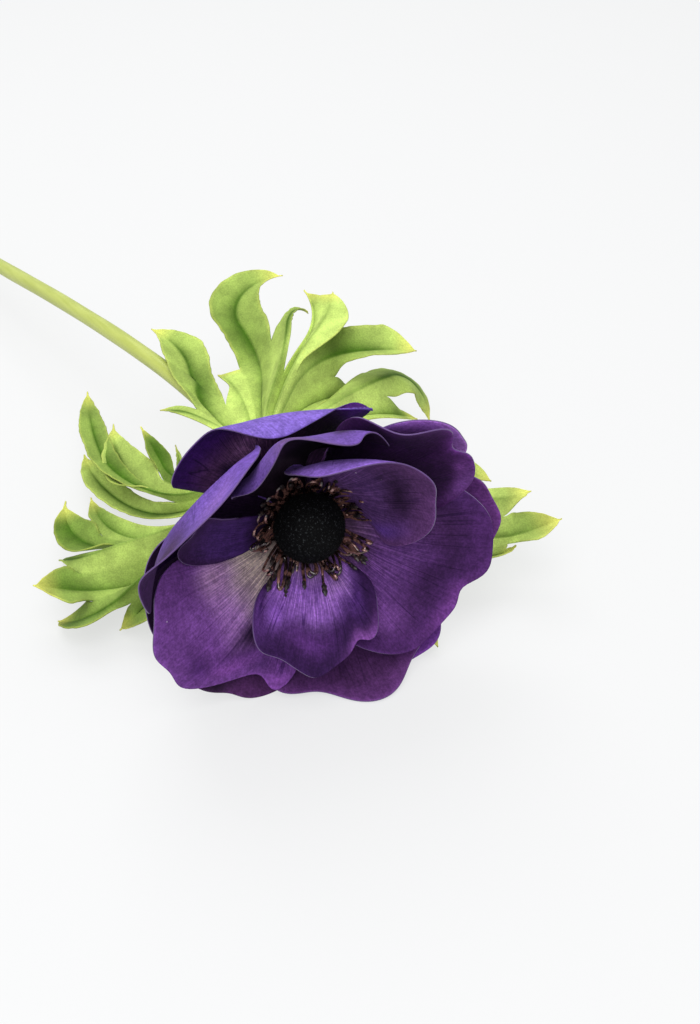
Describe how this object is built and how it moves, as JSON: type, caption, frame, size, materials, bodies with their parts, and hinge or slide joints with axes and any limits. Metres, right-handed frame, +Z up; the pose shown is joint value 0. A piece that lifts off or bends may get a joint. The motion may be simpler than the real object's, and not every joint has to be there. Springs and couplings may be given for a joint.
{
  "type": "anemone flower with stem and leaf collar",
  "caption": "Cut anemone lying on its side: violet petals in whorls round a black velvety dome with stamens, a collar of cut leaves and a long stem.",
  "frame": {"origin": "on the ground under the centre of the whole flower's box", "axes": "+Z up; +X runs from the cut end of the stem towards the bloom; +Y to the left of that"},
  "size_m": [0.3672, 0.1412, 0.0875],
  "materials": {
    "stem": "satin",
    "dome": "flocked",
    "stamens": "glossy",
    "petal": "velvety",
    "leaf": "matte"
  },
  "bodies": {
    "root": {"stem": "stem", "dome": "dome", "stamens": "stamens", "petal_inner_bottom": "petal", "petal_inner_right": "petal", "petal_inner_left": "petal", "petal_inner_top": "petal", "petal_middle_lower_left": "petal", "petal_middle_right": "petal", "petal_middle_bottom": "petal", "petal_middle_upper_right": "petal", "petal_middle_top": "petal", "petal_middle_left": "petal", "petal_outer_right": "petal", "petal_outer_upper_right": "petal", "petal_outer_left": "petal", "petal_outer_lower_left": "petal", "petal_outer_lower_right": "petal", "leaf_back": "leaf", "leaf_left_high": "leaf", "leaf_left_low": "leaf", "leaf_right": "leaf"}
  },
  "joints": []
}
